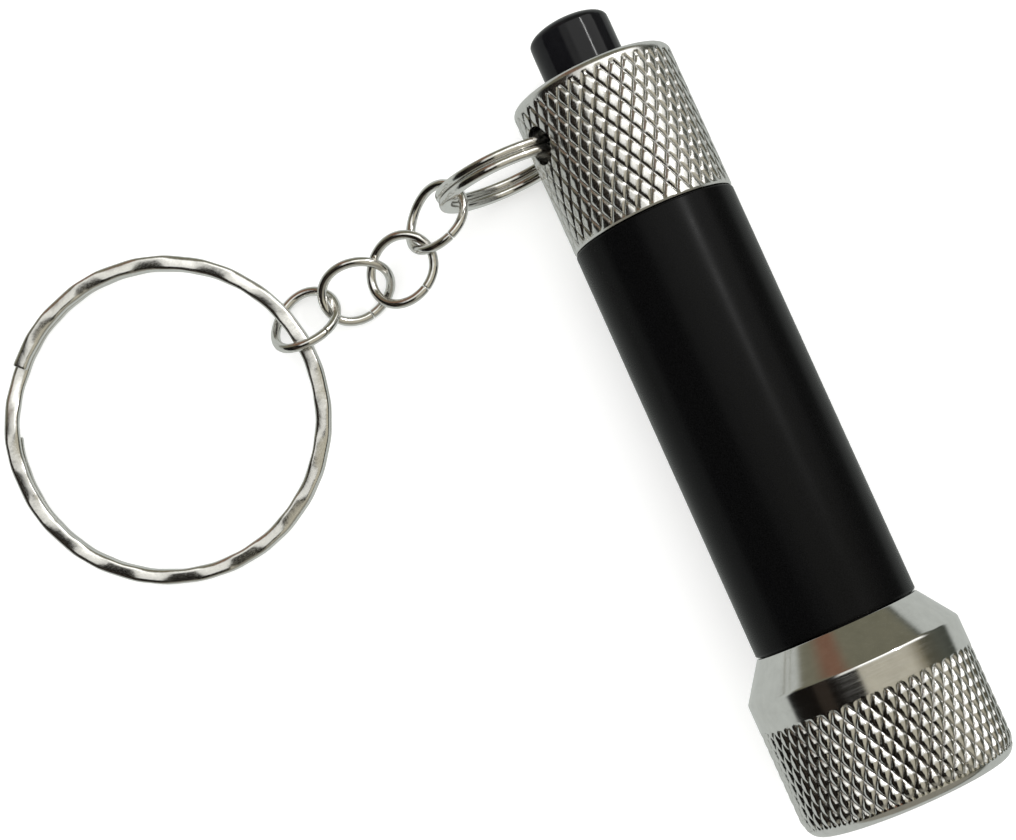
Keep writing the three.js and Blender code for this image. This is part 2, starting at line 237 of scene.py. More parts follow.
def revolved(rows, sides, reliefs=None):
    """Vertices, faces and groove depths of a turned shape.

    Each row is (along, radius) or (along, radius, relief name), in order round the outline: out along the
    outside and back along the inside. An outline that starts on the axis is left open there. A relief gives
    how far the surface drops below the radius, and its deepest drop.
    """
    rows = supported(rows)
    angles = 2 * math.pi * np.arange(sides) / sides
    drop = np.zeros((len(rows), sides))
    depth = np.zeros((len(rows), sides))
    for i, row in enumerate(rows):
        if len(row) > 2:
            # A relief's second value is kept for the groove attribute, which sets painted shade in the
            # aluminium.
            drop[i], depth[i] = reliefs[row[2]](row[0], angles)
    along = np.array([row[0] for row in rows])[:, None] + np.zeros((1, sides))
    radius = np.array([row[1] for row in rows])[:, None] - drop
    vertices = np.stack([along, radius * np.cos(angles), radius * np.sin(angles)], -1).reshape(-1, 3)
    faces = []
    count = len(rows)
    first_cut = next((i for i, row in enumerate(rows) if len(row) > 2), 0)
    for i in range(count if rows[0][1] > 0 else count - 1):
        k = (i + 1) % count
        cut = len(rows[i]) > 2 and len(rows[k]) > 2 and rows[i][2] == "knurl"
        for j in range(sides):
            m = (j + 1) % sides
            a, b, c, d = i * sides + j, i * sides + m, k * sides + m, k * sides + j
            if not cut:
                faces.append((a, b, c, d))
            elif (i - first_cut + j) % 2 == 0:
                faces += [(a, b, c), (a, c, d)]
            else:
                faces += [(a, b, d), (b, c, d)]
    return vertices, faces, depth.ravel()


KNURL_CELLS = 10


def knurl(start, end, per_turn, pitch, depth, flatness):
    """Rows and relief of a diamond knurl between two places along a turned piece.

    Two sets of grooves cross. A higher flatness leaves broader diamonds between narrower grooves.
    """
    fade_in = 0.12
    step = pitch / KNURL_CELLS
    count = max(2, round((end - start) / step))
    step = (end - start) / count

    def relief(along, angles):
        u = angles * per_turn / (2 * math.pi)
        v = (along - start) / (step * KNURL_CELLS)
        left = np.abs(2 * np.mod(u + v, 1) - 1) ** flatness
        right = np.abs(2 * np.mod(u - v, 1) - 1) ** flatness
        low = 1 - (1 - left) * (1 - right)
        edge = min(1.0, min(along - start, end - along) / fade_in)
        # The second value, how far down the grooves a point lies, sets the painted shade in the aluminium's
        # colour.
        return depth * low * edge, low * edge

    return [(start + step * i) for i in range(count + 1)], relief


def thread(start, end, pitch, depth):
    """Relief of a right-hand thread, which fades in and out at its ends."""
    # shading sets how strongly the thread's roots get painted shade in the aluminium's colour.
    crest, fade_in, shading = 1.45, 0.5, 0.6

    def relief(along, angles):
        turn = np.mod(along / pitch - angles / (2 * math.pi), 1)
        ridge = np.clip(crest * (1 - 2 * np.abs(2 * turn - 1)), 0, 1)
        fade = min(1.0, max(0.0, min(along - start, end - along) / fade_in))
        low = (1 - ridge) * fade
        return depth * low, low * shading

    return relief


def rounded_corner(corner, towards_from, towards_to, reach, steps=4):
    """Points that round a corner of an outline."""
    corner, before, after = (np.array(p, float) for p in (corner, towards_from, towards_to))
    start = corner + (before - corner) / np.linalg.norm(before - corner) * reach
    end = corner + (after - corner) / np.linalg.norm(after - corner) * reach
    rounded = []
    for i in range(steps + 1):
        t = i / steps
        rounded.append(tuple((1 - t) ** 2 * start + 2 * t * (1 - t) * corner + t * t * end))
    return rounded


def softened(outline, reach, closed=True):
    """An outline with every corner rounded. reach is one length, or one for each corner."""
    count = len(outline)
    rows = []
    for i, corner in enumerate(outline):
        size = reach[i] if hasattr(reach, "__len__") else reach
        if size == 0 or (not closed and i in (0, count - 1)):
            rows.append(tuple(corner))
        else:
            rows += rounded_corner(corner, outline[i - 1], outline[(i + 1) % count], size)
    return rows


def swept(centres, up, sections):
    """A closed wire or band: sections of (up, across) offsets carried along the centre line."""
    centres = np.asarray(centres, float)
    tangent = np.gradient(centres, axis=0)
    tangent /= np.linalg.norm(tangent, axis=1)[:, None]
    up = np.broadcast_to(np.asarray(up, float), centres.shape)
    lift = up - (up * tangent).sum(1)[:, None] * tangent
    lift /= np.linalg.norm(lift, axis=1)[:, None]
    across = np.cross(tangent, lift)
    rings = (centres[:, None, :] + sections[:, :, :1] * lift[:, None, :]
             + sections[:, :, 1:] * across[:, None, :])
    count, sides = rings.shape[:2]
    faces = []
    for i in range(count - 1):
        for j in range(sides):
            m = (j + 1) % sides
            faces.append((i * sides + j, (i + 1) * sides + j, (i + 1) * sides + m, i * sides + m))
    faces.append(tuple(range(sides)))
    faces.append(tuple((count - 1) * sides + j for j in reversed(range(sides))))
    return rings.reshape(-1, 3), faces


def wire_steps(total, radius, step):
    """Places along a wire, closer at its rounded ends, and how full the wire is at each."""
    blunt, rounding, rows, fewest = 0.62, 0.3, 6, 8
    turns = np.sin(np.linspace(blunt, 1, rows) * math.pi / 2)
    reach = radius * np.linspace(0, 1, rows) ** 2 * rounding
    inner = np.linspace(reach[-1], total - reach[-1], max(fewest, round(total / step)))
    places = np.concatenate([reach[:-1], inner, total - reach[-2::-1]])
    full = np.concatenate([turns[:-1], np.ones(len(inner)), turns[-2::-1]])
    return places / total, full


def round_wire(path, total, radius, up, sides=14, step=0.2):
    """Round wire along a path given for shares of its length, with both ends rounded off."""
    places, full = wire_steps(total, radius, step)
    centres = np.array([path(t) for t in places])
    a = 2 * math.pi * np.arange(sides) / sides
    circle = np.stack([np.cos(a), np.sin(a)], -1) * radius
    return swept(centres, up, full[:, None, None] * circle[None])


# ---------------------------------------------------------------- finishes


class Nodes:
    """Short ways to add nodes to a tree."""

    def __init__(self, tree):
        self.tree = tree

    def node(self, kind, *inputs, out=0, **settings):
        made = self.tree.nodes.new(kind)
        for key, value in settings.items():
            setattr(made, key, value)
        for i, value in enumerate(inputs):
            if isinstance(value, bpy.types.NodeSocket):
                self.tree.links.new(value, made.inputs[i])
            elif value is not None:
                made.inputs[i].default_value = value
        return made.outputs[out]

    def math(self, operation, a, b=0.0):
        return self.node("ShaderNodeMath", a, b, operation=operation)

    def spread(self, value, low, high, to_low=0.0, to_high=1.0):
        return self.node("ShaderNodeMapRange", value, low, high, to_low, to_high)

    def mix(self, share, a, b):
        return self.node("ShaderNodeMix", share, None, None, None, None, None, a, b, out=2, data_type="RGBA")

    def split(self, vector):
        parts = self.tree.nodes.new("ShaderNodeSeparateXYZ")
        self.tree.links.new(vector, parts.inputs[0])
        return parts.outputs


class Finish(Nodes):
    """A material with one Principled shader, and what its patterns are made with."""

    def __init__(self, name, base, rough, metal=0.0, **more):
        self.material = bpy.data.materials.new(name)
        self.material.use_nodes = True
        super().__init__(self.material.node_tree)
        self.shader = next(n for n in self.tree.nodes if n.type == "BSDF_PRINCIPLED")
        self.base = (*base, 1.0)
        self.feed("Base Color", self.base)
        self.feed("Roughness", rough)
        self.feed("Metallic", metal)
        for socket, value in more.items():
            self.feed(socket.replace("_", " "), value)

    def feed(self, socket, value):
        if isinstance(value, bpy.types.NodeSocket):
            self.tree.links.new(value, self.shader.inputs[socket])
        else:
            self.shader.inputs[socket].default_value = value

    def own(self):
        """The piece's own coordinates, in millimetres."""
        place = self.node("ShaderNodeTexCoord", out="Object")
        return self.node("ShaderNodeVectorMath", place, None, None, 1 / MM, operation="SCALE")

    def turning(self, fineness):
        """Coordinates that change along and across a turned piece and hardly round it."""
        x, y, z = self.split(self.own())
        radius = self.math("SQRT", self.math("ADD", self.math("MULTIPLY", y, y), self.math("MULTIPLY", z, z)))
        return self.node("ShaderNodeCombineXYZ", self.math("MULTIPLY", x, fineness),
                         self.math("MULTIPLY", radius, fineness), self.math("MULTIPLY", y, 0.25))

    def noise(self, vector, scale, detail=3.0, rough=0.55):
        return self.node("ShaderNodeTexNoise", vector, None, scale, detail, rough)

    def shade(self, share, low, high):
        """The base colour between two brightnesses of itself."""
        dark = tuple(c * low for c in self.base[:3]) + (1.0,)
        light = tuple(min(1.0, c * high) for c in self.base[:3]) + (1.0,)
        return self.mix(share, dark, light)

    def bump(self, height, depth_mm, strength=1.0, under=None):
        made = self.tree.nodes.new("ShaderNodeBump")
        made.inputs["Strength"].default_value = strength
        made.inputs["Distance"].default_value = depth_mm * MM
        self.tree.links.new(height, made.inputs["Height"])
        if under is not None:
            self.tree.links.new(under, made.inputs["Normal"])
        return made.outputs[0]


def black_anodising(name, base):
    """Satin black anodising: a fine even grain over the metal."""
    f = Finish(name, base, 0.3, 0.0, IOR=1.2)
    grain = f.noise(f.own(), 11.0, 3.0, 0.6)
    wide = f.noise(f.own(), 0.35, 2.0, 0.5)
    f.feed("Base Color", f.shade(f.spread(grain, 0.3, 0.7, 0.0, 1.0), 0.55, 2.1))
    f.feed("Roughness", f.math("ADD", f.spread(grain, 0.3, 0.7, 0.20, 0.28),
                               f.spread(wide, 0.35, 0.65, 0.0, 0.04)))
    f.feed("Normal", f.bump(grain, 0.004, 0.5))
    return f.material


def bare_aluminium(name, base, rough=0.2):
    """Turned aluminium: fine lines round the piece, and painted shade down in the knurl and thread grooves,
    where the base colour goes towards near-black metal.
    """
    f = Finish(name, base, rough, 1.0)
    lines = f.noise(f.turning(9.0), 1.0, 4.0, 0.62)
    wide = f.noise(f.own(), 0.9, 3.0, 0.6)
    groove = f.node("ShaderNodeAttribute", out=2, attribute_name="groove")
    # Painted shade: deep in the knurl and thread grooves, set by the groove attribute and broken up by a wide
    # noise, the colour goes towards near-black metal (0.045, 0.042, 0.040) and the gloss dulls.
    groove_shade = f.math("MULTIPLY", f.spread(groove, 0.55, 1.0, 0.0, 0.55), f.spread(wide, 0.2, 0.8, 0.7, 1.0))
    f.feed("Base Color", f.mix(groove_shade, f.shade(f.spread(wide, 0.3, 0.7, 0.0, 1.0), 0.93, 1.03),
                               (0.045, 0.042, 0.040, 1.0)))
    f.feed("Roughness", f.math("ADD", f.spread(lines, 0.3, 0.7, rough - 0.05, rough + 0.06),
                               f.math("MULTIPLY", groove_shade, 0.25)))
    f.feed("Normal", f.bump(lines, 0.0022, 0.55))
    return f.material


def gloss_button(name, base):
    """Moulded gloss black plastic with the faint haze of handling."""
    f = Finish(name, base, 0.09, 0.0, IOR=1.3)
    haze = f.noise(f.own(), 1.6, 4.0, 0.6)
    f.feed("Roughness", f.spread(haze, 0.35, 0.75, 0.06, 0.16))
    f.feed("Base Color", f.shade(haze, 0.7, 1.5))
    f.feed("Normal", f.bump(f.noise(f.own(), 3.0, 2.0, 0.5), 0.004, 0.25))
    return f.material


def plated_nickel(name, base, rough=0.17):
    """Plating over drawn wire: slow waves, small pits and hairline drawing marks."""
    f = Finish(name, base, rough, 1.0)
    waves = f.noise(f.own(), 1.1, 2.0, 0.5)
    pits = f.noise(f.own(), 7.5, 4.0, 0.65)
    f.feed("Base Color", f.shade(f.spread(pits, 0.35, 0.65, 0.0, 1.0), 0.93, 1.04))
    f.feed("Roughness", f.spread(pits, 0.35, 0.7, rough - 0.05, rough + 0.07))
    f.feed("Normal", f.bump(pits, 0.003, 0.2, f.bump(waves, 0.08, 0.3)))
    return f.material


def moulded_plastic(name, base, rough=0.45, **more):
    """Moulded plastic or rubber with a fine even grain."""
    f = Finish(name, base, rough, 0.0, **more)
    grain = f.noise(f.own(), 6.0, 3.0, 0.6)
    f.feed("Base Color", f.shade(grain, 0.85, 1.15))
    f.feed("Roughness", f.spread(grain, 0.3, 0.7, rough - 0.08, rough + 0.08))
    f.feed("Normal", f.bump(grain, 0.006, 0.4))
    return f.material


def turned_metal(name, base, rough=0.25, fineness=7.0):
    """Metal with fine lathe lines round the torch's axis."""
    f = Finish(name, base, rough, 1.0)
    lines = f.noise(f.turning(fineness), 1.0, 3.0, 0.6)
    f.feed("Base Color", f.shade(f.noise(f.own(), 2.0, 3.0), 0.88, 1.08))
    f.feed("Roughness", f.spread(lines, 0.3, 0.7, rough - 0.07, rough + 0.09))
    f.feed("Normal", f.bump(lines, 0.003, 0.5))
    return f.material


def spring_wire(name):
    """Drawn spring steel, a little uneven in its gloss."""
    f = Finish(name, (0.62, 0.61, 0.59), 0.24, 1.0)
    drawn = f.noise(f.own(), 5.0, 3.0, 0.6)
    f.feed("Base Color", f.shade(drawn, 0.8, 1.1))
    f.feed("Roughness", f.spread(drawn, 0.3, 0.7, 0.17, 0.34))
    return f.material


def clear_plastic(name, rough=0.02, ior=1.5):
    """Clear plastic with faint wiping marks."""
    f = Finish(name, (0.98, 0.985, 0.98), rough, 0.0, Transmission_Weight=1.0, IOR=ior)
    f.feed("Roughness", f.spread(f.noise(f.own(), 4.0, 5.0, 0.7), 0.45, 0.8, rough, rough + 0.06))
    return f.material


def cell_steel(name):
    """The nickel-plated steel of the cells' cans."""
    f = Finish(name, (0.66, 0.65, 0.62), 0.2, 1.0)
    brushed = f.noise(f.own(), 4.0, 4.0, 0.6)
    f.feed("Base Color", f.shade(brushed, 0.85, 1.05))
    f.feed("Roughness", f.spread(brushed, 0.3, 0.7, 0.15, 0.3))
    return f.material


def paint_node(finish, *nodes):
    """Gives CAD nodes that stay in sight a finish."""
    for name in nodes:
        node = frame["nodes"][name]
        for place in node.material_slots:
            place.material = finish


def cut_out(body, cutters, name):
    """Cuts the cutters out of a piece and removes them."""
    for cutter in cutters:
        cut = body.modifiers.new("cut", "BOOLEAN")
        cut.operation, cut.solver, cut.object = "DIFFERENCE", "EXACT", cutter
    bpy.context.view_layer.update()
    result = bpy.data.meshes.new_from_object(
        body.evaluated_get(bpy.context.evaluated_depsgraph_get()))
    body.modifiers.clear()
    body.data = result
    result.name = name
    for cutter in cutters:
        bpy.data.objects.remove(cutter)
    if len(result.polygons) == 0:
        raise RuntimeError(f"cutting {name} left nothing")
    result.shade_smooth()
    result.set_sharp_from_angle(angle=SHARP_ANGLE)


def cylinder_between(start, end, radius, place, finish, sides=40):
    """A closed round bar between two points of a frame, in millimetres."""
    start, end = np.array(start, float), np.array(end, float)
    axis = (end - start) / np.linalg.norm(end - start)
    side = np.cross(axis, (0.0, 0.0, 1.0) if abs(axis[2]) < 0.9 else (1.0, 0.0, 0.0))
    a = 2 * math.pi * np.arange(sides) / sides
    ring = np.stack([np.cos(a), np.sin(a)], -1) * radius
    vertices, faces = swept([start, end], side / np.linalg.norm(side), np.stack([ring, ring]))
    return make_piece("bar", vertices, faces, place, finish)


# ---------------------------------------------------------------- the torch


class TorchOperator:
    """What every operator here shares. Its build makes the pieces, with sizes in millimetres."""

    bl_options = {"REGISTER"}

    def execute(self, context):
        scene = context.scene
        self.build(in_millimetres(scene.torch_sizes), in_millimetres(scene.ring_sizes), scene.torch_colours)
        return {"FINISHED"}


class TORCH_OT_tail_cap(TorchOperator, Operator):
    """Build the knurled tail cap with its two ring holes"""

    bl_idname = "torch.tail_cap"
    bl_label = "Tail cap"

    def build(self, sizes, rings, colours):
        start, end, radius = span("tail_cap")
        rim, wall, cavity, counterbore, counterbore_start = 0.6, 1.3, 5.5, 6.5, 8.7
        hole, hole_edge, lip, plain_rim, flatness = 3.55, 0.12, 0.12, 0.18, 5.5
        rows = [(start, hole + hole_edge)]
        rows += [(start + rim * (1 - math.cos(a)), radius - rim * (1 - math.sin(a)))
                 for a in np.linspace(0, math.pi / 2, 7)]
        cuts, relief = knurl(start + rim + plain_rim, end - 0.15, sizes.tail_diamonds,
                             sizes.tail_diamond_length, sizes.tail_knurl_depth, flatness)
        rows += [(x, radius, "knurl") for x in cuts]
        rows += [(end, radius - lip), (end, counterbore), (start + counterbore_start, counterbore),
                 (start + counterbore_start, cavity), (start + wall, cavity), (start + wall, hole),
                 (start + hole_edge, hole)]
        finish = bare_aluminium("Tail aluminium", colours.aluminium)
        vertices, faces, grooves = revolved(rows, sizes.tail_diamonds * KNURL_CELLS, {"knurl": relief})
        piece = make_piece("tail_knurled", vertices, faces, TORCH, finish, grooves)
        cut_out(piece, self.ring_holes(finish), "tail_knurled")
        fit(piece, "barrel", "tail_aluminium", "tail_cap")

    def ring_holes(self, finish):
        """Cutters for the two holes that the small ring passes through."""
        hole_radius, half_angle, inner, outer = 1.6, 33, 4.6, 8.2
        points = points_in(TORCH, "small_split_ring")
        along, y, z = (points.min(0) + points.max(0)) / 2
        cutters = []
        for side in (-half_angle, half_angle):
            a = math.atan2(z, y) + math.radians(side)
            out = np.array([0, math.cos(a), math.sin(a)])
            at = np.array([along, 0, 0])
            cutters.append(cylinder_between(at + out * inner, at + out * outer, hole_radius, TORCH, finish))
        return cutters


class TORCH_OT_barrel(TorchOperator, Operator):
    """Build the black barrel with the spigot for the tail and the thread for the head"""

    bl_idname = "torch.barrel"
    bl_label = "Barrel"

    def build(self, sizes, rings, colours):
        start, end, radius = span("barrel_tube")
        seam, sides, rows_per_thread = 0.1, 168, 14
        tail_end = span("tail_cap")[1] + seam
        body_end = span("head_shell")[0] - seam
        spigot, neck, bore, back_bore = 6.4, 6.55, 6.12, 5.6
        cut = thread(body_end + 0.5, end - 0.35, sizes.thread_pitch, sizes.thread_depth)
        edge = ((0.0, 0.14), (0.05, 0.05), (0.16, 0.0))
        rows = [(start, spigot - 0.15), (start + 0.15, spigot), (tail_end, spigot)]
        rows += [(tail_end + along, radius - drop) for along, drop in edge]
        rows += [(x, radius) for x in np.linspace(tail_end + 0.6, body_end - 0.6, 24)]
        rows += [(body_end - along, radius - drop) for along, drop in reversed(edge)]
        rows += [(body_end, neck)]
        step = sizes.thread_pitch / rows_per_thread
        rows += [(x, neck, "thread") for x in np.arange(body_end + 0.2, end - 0.25, step)]
        rows += [(end, neck - 0.2), (end, bore), (tail_end, bore), (tail_end, back_bore), (start, back_bore)]
        vertices, faces, grooves = revolved(rows, sides, {"thread": cut})
        finish = black_anodising("Black anodising", colours.barrel)
        piece = make_piece("barrel_black", vertices, faces, TORCH, finish, grooves)
        fit(piece, "barrel", "black_anodised", "barrel_tube")


class TORCH_OT_button(TorchOperator, Operator):
    """Build the push button's cap and finish the plunger behind it"""

    bl_idname = "torch.button"
    bl_label = "Push button"

    def build(self, sizes, rings, colours):
        start, end, radius = span("button_cap")
        dome, squareness, full = 1.15, 2.2, radius * 1.035
        spring_pocket, pocket_depth, socket, socket_depth = 3.02, 1.62, 2.4, 4.7
        rows = []
        for share in np.sin(np.linspace(0, 1, 26) * math.pi / 2):
            sink = 1 - (1 - share ** squareness) ** (1 / squareness)
            rows.append((start + dome * sink, radius * 1.03 * share))
        rows += [(start + dome + 0.4, full), (end - 1.9, full), (end - 1.6, radius), (end - 0.1, radius),
                 (end, radius - 0.1), (end, spring_pocket), (end - pocket_depth, spring_pocket),
                 (end - pocket_depth, socket), (start + socket_depth, socket), (start + socket_depth, 0.0)]
        vertices, faces, _ = revolved(rows, 96)
        finish = gloss_button("Gloss black", colours.button)
        piece = make_piece("button_gloss_cap", vertices, faces, TORCH, finish)
        fit(piece, "button", "button_gloss", "button_cap")
        paint_node(moulded_plastic("White plastic", (0.78, 0.77, 0.73), 0.4), "button_plunger")


class TORCH_OT_springs(TorchOperator, Operator):
    """Wind the button's return spring and the two contact springs"""

    bl_idname = "torch.springs"
    bl_label = "Springs"

    def build(self, sizes, rings, colours):
        finish = spring_wire("Spring steel")
        # CAD node, piece, body, first and last radius, wire radius and turns.
        springs = (
            ("button_return_spring", "button_spring", "barrel", 2.75, 2.75, 0.2, 4.0),
            ("tail_spring", "cell_spring", "barrel", 3.6, 2.0, 0.3, 6.0),
            ("front_contact_spring", "lamp_spring", "lamp_module", 1.0, 1.7, 0.18, 2.5),
        )
        for node, name, body, first, last, wire, turns in springs:
            start, end, _ = span(node)

            def coil(t):
                a = 2 * math.pi * turns * t
                r = first + (last - first) * t
                return (start + wire + (end - start - 2 * wire) * t, r * math.cos(a), r * math.sin(a))

            reach = math.pi * (first + last) * turns
            vertices, faces = round_wire(coil, reach, wire, (1.0, 0.0, 0.0), sides=10, step=0.35)
            fit(make_piece(name, vertices, faces, TORCH, finish), body, "spring_steel", node)


class TORCH_OT_power(TorchOperator, Operator):
    """Finish the switch, the cells and their sleeve inside the barrel"""

    bl_idname = "torch.power"
    bl_label = "Switch and cells"

    def build(self, sizes, rings, colours):
        black = moulded_plastic("Black plastic", (0.02, 0.02, 0.021), 0.42)
        paint_node(black, "switch_housing", "lamp_holder")
        paint_node(turned_metal("Brass", (0.78, 0.58, 0.28), 0.24), "switch_retaining_ring")
        film = moulded_plastic("Sleeve film", (0.55, 0.56, 0.52), 0.3, Coat_Weight=0.3)
        paint_node(film, "battery_sleeve")
        paint_node(cell_steel("Cell steel"), *(f"battery_cell_{i}" for i in range(1, 5)))


class TORCH_OT_lamp(TorchOperator, Operator):
    """Build the five lamps and the mirror plate, and finish the board behind them"""

    bl_idname = "torch.lamp"
    bl_label = "Lamps"

    def build(self, sizes, rings, colours):
        paint_node(moulded_plastic("Board", (0.72, 0.74, 0.70), 0.35, Coat_Weight=0.4), "led_board")
        lamp_hole, past = 2.53, 1.0
        mirror = turned_metal("Mirror chrome", (0.6, 0.605, 0.615), 0.12, 2.0)
        start, end, radius = span("reflector_plate")
        outline = [(start, 0.0), (start, radius), (end, radius), (end, 0.0)]
        vertices, faces, _ = revolved(softened(outline, 0.15, closed=False), 120)
        plate = make_piece("mirror_plate", vertices, faces, TORCH, mirror)
        centres = []
        for number in range(1, 6):
            points = points_in(TORCH, f"led_{number}")
            centres.append((points.min(0) + points.max(0)) / 2)
        cutters = [cylinder_between((start - past, y, z), (end + past, y, z), lamp_hole, TORCH, mirror)
                   for _, y, z in centres]
        cut_out(plate, cutters, "mirror_plate")
        fit(plate, "lamp_module", "reflector", "reflector_plate")
        epoxy = clear_plastic("Clear epoxy", 0.015, 1.53)
        silver = turned_metal("Lead frame", (0.85, 0.85, 0.84), 0.15, 3.0)
        phosphor = moulded_plastic("Phosphor", (0.86, 0.74, 0.12), 0.5)
        for number, (_, y, z) in enumerate(centres, 1):
            self.lamp(number, y, z, epoxy, silver, phosphor)

    def lamp(self, number, y, z, epoxy, silver, phosphor):
        """One lamp: a clear body with a flange and a dome, and inside it a silver cup with its phosphor."""
        back, front, _ = span(f"led_{number}")
        flange, flange_end, body, dome = 2.6, 0.9, 2.45, 1.4
        body_rows = [(0.0, 0.0), (0.0, flange - 0.1), (0.1, flange), (flange_end - 0.1, flange),
                     (flange_end, flange - 0.1), (flange_end + 0.05, body)]
        body_rows += [(front - dome - back + dome * math.sin(a), body * math.cos(a))
                      for a in np.linspace(0, math.pi / 2, 12)]
        cup_rows = [(0.4, 0.0), (0.4, 0.65), (1.5, 0.95), (2.3, 0.95), (2.3, 0.8), (1.75, 0.5), (1.75, 0.0)]
        dot_rows = [(1.8, 0.0), (1.8, 0.45), (2.05, 0.6), (2.15, 0.3), (2.17, 0.0)]
        place = TORCH @ Matrix.Translation(Vector((0, y, z)) * MM)
        parts = (
            (f"lamp_{number}", body_rows, 48, epoxy, (f"led_{number}",)),
            (f"lamp_cup_{number}", cup_rows, 32, silver, ()),
            (f"lamp_dot_{number}", dot_rows, 24, phosphor, ()),
        )
        for name, rows, sides, finish, nodes in parts:
            vertices, faces, _ = revolved([(back + along, r) for along, r in rows], sides)
            fit(make_piece(name, vertices, faces, place, finish), "lamp_module", "led_clear", *nodes)


class TORCH_OT_head(TorchOperator, Operator):
    """Build the head: cone, polished band, knurl and rounded front"""

    bl_idname = "torch.head"
    bl_label = "Head"

    def build(self, sizes, rings, colours):
        start, end, radius = span("head_shell")
        back_radius = span("barrel_tube")[2]
        bore, cavity, cavity_start, cone, lead_in = 6.65, 8.0, 55.1, 3.15, 0.1
        groove_front, groove_back, groove_radius = 51.1, 50.3, 7.2
        plain_front, drop, flatness, rows_per_thread = 0.75, 1.1, 3.0, 12
        shoulder = start + cone
        knurl_start, knurl_end = shoulder + sizes.polished_band, end - plain_front
        round_start = end - sizes.front_round

        def front_radius(x):
            turned = max(0.0, x - round_start) / sizes.front_round
            return radius - drop * (1 - math.sqrt(1 - turned * turned))

        rows = [(start, bore + lead_in), (start, back_radius - 0.06), (start + 0.05, back_radius + 0.02)]
        rows += rounded_corner((shoulder, radius), (start, back_radius), (knurl_start, radius), 0.16)
        rows += [(shoulder + 0.9, radius), (knurl_start - 0.35, radius), (knurl_start - 0.08, radius)]
        cuts, relief = knurl(knurl_start, knurl_end, sizes.head_diamonds, sizes.head_diamond_length,
                             sizes.head_knurl_depth, flatness)
        rows += [(x, front_radius(x), "knurl") for x in cuts]
        first = math.asin((knurl_end + 0.06 - round_start) / sizes.front_round)
        rows += [(round_start + sizes.front_round * math.sin(a), radius - drop * (1 - math.cos(a)))
                 for a in np.linspace(first, math.pi / 2, 9)]
        rows += [(end, cavity + 0.05), (end - 0.05, cavity), (cavity_start, cavity),
                 (cavity_start, bore + lead_in)]
        cut = thread(groove_front + 0.2, cavity_start - 0.2, sizes.thread_pitch, -sizes.thread_depth)
        step = sizes.thread_pitch / rows_per_thread
        rows += [(x, bore, "thread") for x in np.arange(cavity_start - 0.15, groove_front + 0.1, -step)]
        rows += [(groove_front, bore), (groove_front, groove_radius), (groove_back, groove_radius),
                 (groove_back, bore), (start + lead_in, bore)]
        finish = bare_aluminium("Head aluminium", colours.aluminium, 0.13)
        vertices, faces, grooves = revolved(
            rows, sizes.head_diamonds * KNURL_CELLS, {"knurl": relief, "thread": cut})
        piece = make_piece("head_knurled", vertices, faces, TORCH, finish, grooves)
        fit(piece, "head", "head_aluminium", "head_shell")


class TORCH_OT_front(TorchOperator, Operator):
    """Build the lens and the bezel, and finish the seals"""

    bl_idname = "torch.front"
    bl_label = "Lens and bezel"

    def build(self, sizes, rings, colours):
        start, end, radius = span("lens")
        outline = [(start, 0.0), (start, radius), (end, radius), (end, 0.0)]
        vertices, faces, _ = revolved(softened(outline, 0.12, closed=False), 120)
        clear = clear_plastic("Clear lens", 0.01, 1.49)
        fit(make_piece("lens_clear_disc", vertices, faces, TORCH, clear), "head", "lens_clear", "lens")

        start, end, radius = span("bezel_ring")
        inner, bevel, set_back = 6.9, 0.75, 0.1
        face = end - set_back
        outline = [
            (start, inner), (start, radius), (face, radius), (face, inner + bevel), (end - bevel, inner)]
        vertices, faces, _ = revolved(softened(outline, (0.08, 0.08, 0.1, 0.12, 0.12))[::-1], 144)
        metal = turned_metal("Bezel aluminium", colours.aluminium, 0.2, 9.0)
        piece = make_piece("bezel_turned", vertices, faces, TORCH, metal)
        fit(piece, "head", "bezel_aluminium", "bezel_ring")
        rubber = moulded_plastic("Seal rubber", (0.022, 0.022, 0.022), 0.6)
        paint_node(rubber, "head_seal_ring", "lens_gasket")


# ---------------------------------------------------------------- rings and links


def wound_ring(radius, width, thickness, gap, crossing, rounding, marks, mark_depth, step):
    """Vertices and faces of a split ring: two turns of band on each other, hammered flat here and there.

    The band crosses from the lower turn to the upper one over the angle given as crossing. marks is the
    number of pairs of flats in a turn, or 0 for a plain band.
    """
    sharpness, spread = 2.4, 0.028
    total = 4 * math.pi - crossing
    places, full = wire_steps(total * radius, thickness, step)
    angles = places * total
    share = np.clip((angles - 2 * math.pi + crossing) / crossing, 0, 1)
    rise = share * share * (3 - 2 * share)
    wave = np.tanh(sharpness * np.sin(marks * angles))
    widening = spread * np.cos(2 * marks * angles) if marks else np.zeros_like(angles)
    widest = abs(widening).max()
    top, bottom = thickness / 2, -thickness / 2
    sections = []
    for upper, fullness, tilt, wider in zip(rise, full, wave, widening):
        half = width / 2 * (1 + wider - widest)
        low_out, low_in = mark_depth / 2 * (1 + tilt), mark_depth / 2 * (1 - tilt)
        corners = [
            (top - low_out * upper, -half), (top - low_in * upper, half),
            (bottom + low_in * (1 - upper), half), (bottom + low_out * (1 - upper), -half),
        ]
        sections.append(np.array(softened([(a * fullness, b * fullness) for a, b in corners],
                                          rounding * fullness)))
    height = (thickness + gap) * (rise - 0.5)
    centres = np.stack([radius * np.cos(angles), radius * np.sin(angles), height], -1)
    return swept(centres, (0.0, 0.0, 1.0), np.array(sections))


def ring_radius(place, node, band):
    """The middle radius of a ring's band, from the CAD node that it stands for."""
    points = points_in(place, node)
    return np.hypot(points[:, 0], points[:, 1]).max() - band / 2


